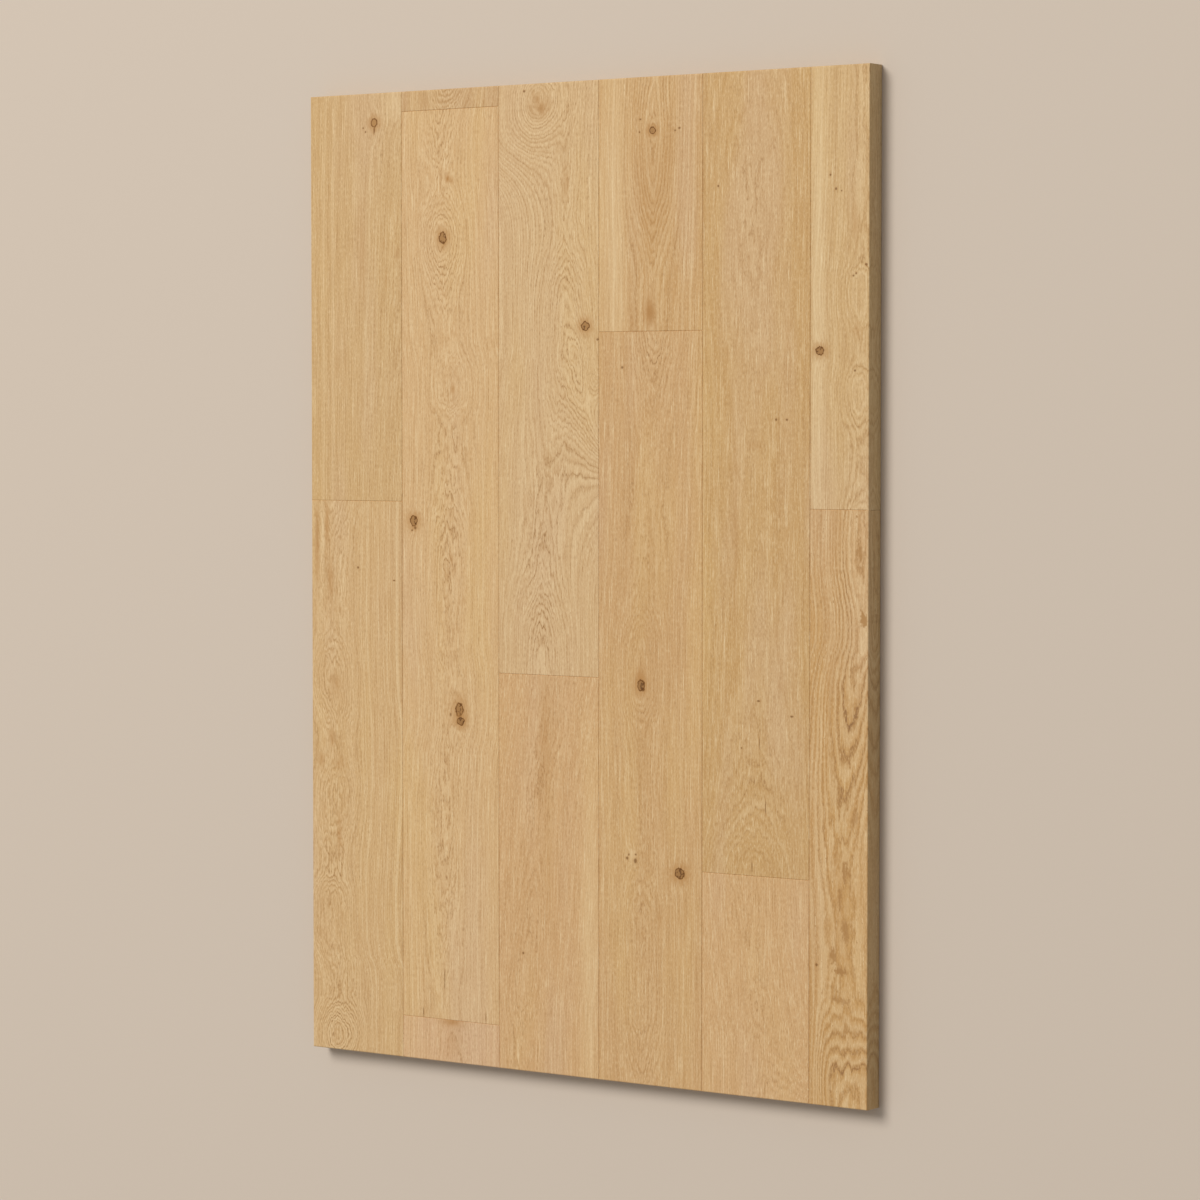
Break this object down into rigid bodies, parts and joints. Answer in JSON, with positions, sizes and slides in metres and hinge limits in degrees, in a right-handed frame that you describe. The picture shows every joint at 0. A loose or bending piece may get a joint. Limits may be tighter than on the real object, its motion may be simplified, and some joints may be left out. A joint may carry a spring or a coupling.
{
  "type": "parquet plank panel",
  "caption": "Square-cut flat panel of solid oak parquet planks laid in staggered courses, with micro-bevelled joints and eased outer edges.",
  "frame": {"origin": "middle of the underside, on the surface that the panel rests on", "axes": "+X across the courses, +Y along the planks towards the far edge, +Z out of the finished face"},
  "size_m": [0.66, 0.962, 0.022],
  "materials": {
    "pale_oak": "satin",
    "golden_oak": "satin",
    "figured_oak": "satin"
  },
  "bodies": {
    "root": {"plank_1_far": "pale_oak", "plank_1_near": "golden_oak", "plank_2_far": "golden_oak", "plank_2_middle": "pale_oak", "plank_2_near": "golden_oak", "plank_3_far": "pale_oak", "plank_3_near": "golden_oak", "plank_4_far": "golden_oak", "plank_4_near": "golden_oak", "plank_5_far": "golden_oak", "plank_5_near": "golden_oak", "plank_6_far": "pale_oak", "plank_6_near": "figured_oak"}
  },
  "joints": []
}
